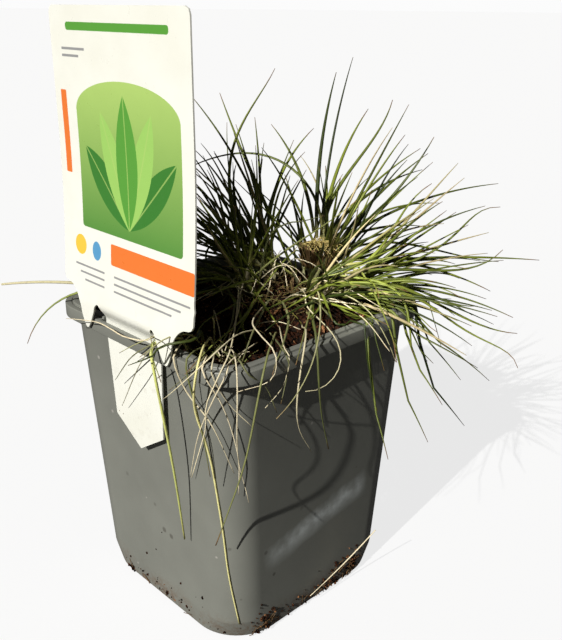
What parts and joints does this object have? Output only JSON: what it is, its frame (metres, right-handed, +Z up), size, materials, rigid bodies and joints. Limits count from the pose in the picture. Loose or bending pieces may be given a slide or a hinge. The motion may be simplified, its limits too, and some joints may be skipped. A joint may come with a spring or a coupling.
{
  "type": "potted bearskin fescue",
  "caption": "Square plastic nursery pot of soil with a tuft of fine needle-leaved grass and a plant label pushed into its rim.",
  "frame": {"origin": "middle of the pot's underside, on its flat resting face", "axes": "+Z up out of the pot; the label is pushed into the rim on the -Y side and faces -Y; +X to the right for someone who looks at the label"},
  "size_m": [0.1408, 0.1503, 0.193],
  "materials": {
    "grey_plastic": "thin moulded pot plastic with a soft sheen, scuffed and a little dusty with soil",
    "white_card": "printed plastic card, satin",
    "peat": "crumbly dark brown potting soil with fibres and dry litter",
    "needle_green": "dense needle leaves, olive to mid green, tan at their feet",
    "leaf_green": "single needle leaves, satin olive green",
    "leaf_straw": "dead needle leaves, pale straw"
  },
  "bodies": {
    "root": {"pot": "grey_plastic", "label": "white_card", "soil": "peat", "crown": "needle_green", "green_leaf_01": "leaf_green", "green_leaf_02": "leaf_green", "green_leaf_03": "leaf_green", "green_leaf_04": "leaf_green", "green_leaf_05": "leaf_green", "green_leaf_06": "leaf_green", "green_leaf_07": "leaf_green", "green_leaf_08": "leaf_green", "green_leaf_09": "leaf_green", "green_leaf_10": "leaf_green", "green_leaf_11": "leaf_green", "green_leaf_12": "leaf_green", "green_leaf_13": "leaf_green", "green_leaf_14": "leaf_green", "green_leaf_15": "leaf_green", "green_leaf_16": "leaf_green", "green_leaf_17": "leaf_green", "green_leaf_18": "leaf_green", "green_leaf_19": "leaf_green", "green_leaf_20": "leaf_green", "green_leaf_21": "leaf_green", "green_leaf_22": "leaf_green", "green_leaf_23": "leaf_green", "green_leaf_24": "leaf_green", "green_leaf_25": "leaf_green", "green_leaf_26": "leaf_green", "green_leaf_27": "leaf_green", "green_leaf_28": "leaf_green", "green_leaf_29": "leaf_green", "green_leaf_30": "leaf_green", "green_leaf_31": "leaf_green", "green_leaf_32": "leaf_green", "dry_leaf_01": "leaf_straw", "dry_leaf_02": "leaf_straw", "dry_leaf_03": "leaf_straw", "dry_leaf_04": "leaf_straw", "dry_leaf_05": "leaf_straw", "dry_leaf_06": "leaf_straw", "dry_leaf_07": "leaf_straw", "dry_leaf_08": "leaf_straw", "dry_leaf_09": "leaf_straw", "dry_leaf_10": "leaf_straw", "dry_leaf_11": "leaf_straw", "dry_leaf_12": "leaf_straw", "dry_leaf_13": "leaf_straw", "dry_leaf_14": "leaf_straw", "loose_straw": "leaf_straw"}
  },
  "joints": []
}
